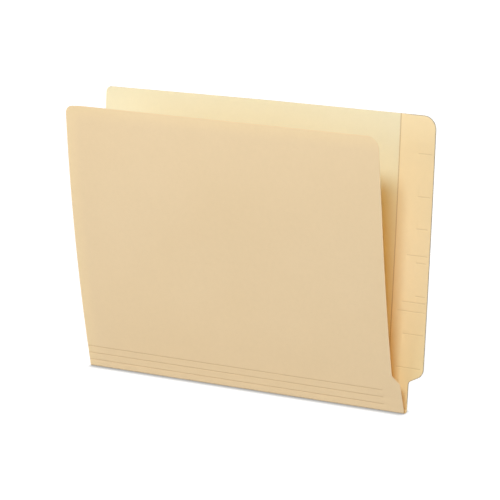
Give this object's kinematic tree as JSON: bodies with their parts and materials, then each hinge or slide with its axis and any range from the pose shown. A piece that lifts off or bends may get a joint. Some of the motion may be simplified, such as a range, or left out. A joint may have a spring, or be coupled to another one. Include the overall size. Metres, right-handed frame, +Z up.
{
  "type": "file folder",
  "caption": "Manila end-tab file folder: a taller back leaf with a reinforced side tab, and a plain front leaf that opens on a bottom fold with expansion scores.",
  "frame": {"origin": "on the surface the fold stands on, under the middle of the folder's overall width and depth", "axes": "+X along the fold towards the end tab, -Y out of the front leaf, +Z up from the fold to the open top"},
  "size_m": [0.3112, 0.06, 0.24],
  "materials": {
    "back_leaf_manila": "matte",
    "tab_ply_manila": "matte",
    "fold_manila": "matte",
    "front_leaf_manila": "matte"
  },
  "bodies": {
    "back": {"back_panel": "back_leaf_manila", "tab_ply": "tab_ply_manila"},
    "fold": {"spine_fold": "fold_manila"},
    "base": {"base_strip": "front_leaf_manila"},
    "front": {"front_panel": "front_leaf_manila"}
  },
  "joints": [
    {"name": "base_expand", "type": "hinge", "parent": "back", "child": "fold", "pos_m": [0, 0.00338, 0.00015], "axis": [1, 0, 0], "range_deg": [0, 83]},
    {"name": "cover_open", "type": "hinge", "parent": "fold", "child": "base", "pos_m": [0, -0.00162, 0.00015], "axis": [1, 0, 0], "range_deg": [-14, 167]},
    {"name": "score_fold", "type": "hinge", "parent": "base", "child": "front", "pos_m": [0, -0.00525, 0.01885], "axis": [1, 0, 0], "range_deg": [-83, 0]}
  ],
  "couplings": [
    {"joint": "score_fold", "follows": "base_expand", "ratio": -1}
  ]
}
